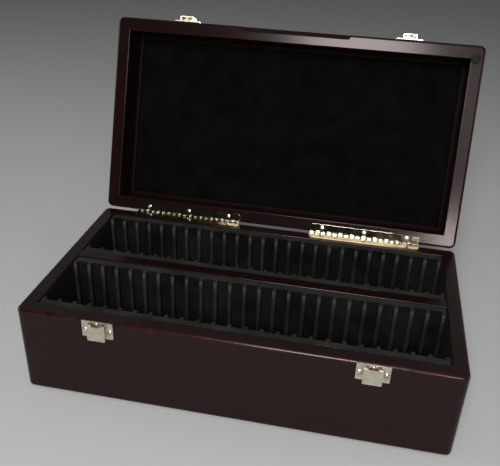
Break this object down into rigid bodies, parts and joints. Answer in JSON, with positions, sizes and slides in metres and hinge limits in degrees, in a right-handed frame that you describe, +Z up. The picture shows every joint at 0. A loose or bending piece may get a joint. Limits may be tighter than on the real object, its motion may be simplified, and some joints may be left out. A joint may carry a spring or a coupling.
{
  "type": "coin display case",
  "caption": "Wooden coin storage case with slotted coin racks in two rows, a felt-lined lid on strip hinges and lever catches.",
  "frame": {"origin": "centre of the base's footprint, on the face it rests on", "axes": "+X to the right along the front, +Y from the front to the hinged back, +Z up"},
  "size_m": [0.375, 0.3198, 0.281],
  "materials": {
    "lacquered_wood": "dark mahogany stain under semi-gloss lacquer",
    "wood_inside": "dark stained board",
    "base_felt": "black felt",
    "black_felt": "black flocked lining",
    "rack_foam": "charcoal closed-cell foam, matte",
    "nickel": "polished nickel plate",
    "steel": "bright steel wire",
    "bumper_pad": "matte felt-faced rubber"
  },
  "bodies": {
    "base": {"base_wall_front": "lacquered_wood", "base_wall_right": "lacquered_wood", "base_wall_back": "lacquered_wood", "base_wall_left": "lacquered_wood", "base_floor": "wood_inside", "base_felt": "base_felt", "divider": "lacquered_wood", "strip_front_near": "rack_foam", "strip_front_far": "rack_foam", "strip_back_near": "rack_foam", "strip_back_far": "rack_foam", "ribs_front_near": "rack_foam", "ribs_front_far": "rack_foam", "ribs_back_near": "rack_foam", "ribs_back_far": "rack_foam", "floor_liner_front": "black_felt", "floor_liner_back": "black_felt", "end_liners": "black_felt", "hinge_base_leaf_left": "nickel", "hinge_base_leaf_right": "nickel", "hinge_pin_left": "steel", "hinge_pin_right": "steel", "hinge_base_screws": "nickel", "catch_plate_left": "nickel", "lever_pins_left": "steel", "lever_springs_left": "steel", "catch_screws_left": "nickel", "catch_plate_right": "nickel", "lever_pins_right": "steel", "lever_springs_right": "steel", "catch_screws_right": "nickel"},
    "lid": {"lid_wall_front": "lacquered_wood", "lid_wall_right": "lacquered_wood", "lid_wall_back": "lacquered_wood", "lid_wall_left": "lacquered_wood", "lid_top": "lacquered_wood", "lid_lining": "black_felt", "bead_front": "lacquered_wood", "bead_right": "lacquered_wood", "bead_back": "lacquered_wood", "bead_left": "lacquered_wood", "bumper": "bumper_pad", "hinge_lid_leaf_left": "nickel", "hinge_lid_leaf_right": "nickel", "hinge_lid_screws": "nickel", "striker_left": "nickel", "striker_fork_left": "nickel", "striker_screws_left": "nickel", "striker_right": "nickel", "striker_fork_right": "nickel", "striker_screws_right": "nickel"},
    "latch_left": {"catch_lever_left": "nickel"},
    "latch_right": {"catch_lever_right": "nickel"}
  },
  "joints": [
    {"name": "lid_hinge", "type": "hinge", "parent": "base", "child": "lid", "pos_m": [0, 0.1008, 0.086], "axis": [1, 0, 0], "range_deg": [0, 110]},
    {"name": "latch_left_pivot", "type": "hinge", "parent": "base", "child": "latch_left", "pos_m": [-0.114, -0.10385, 0.08155], "axis": [-1, 0, 0], "range_deg": [0, 80], "stiffness_Nm_per_rad": 0.01, "springref_deg": -20.05},
    {"name": "latch_right_pivot", "type": "hinge", "parent": "base", "child": "latch_right", "pos_m": [0.114, -0.10385, 0.08155], "axis": [-1, 0, 0], "range_deg": [0, 80], "stiffness_Nm_per_rad": 0.01, "springref_deg": -20.05}
  ]
}
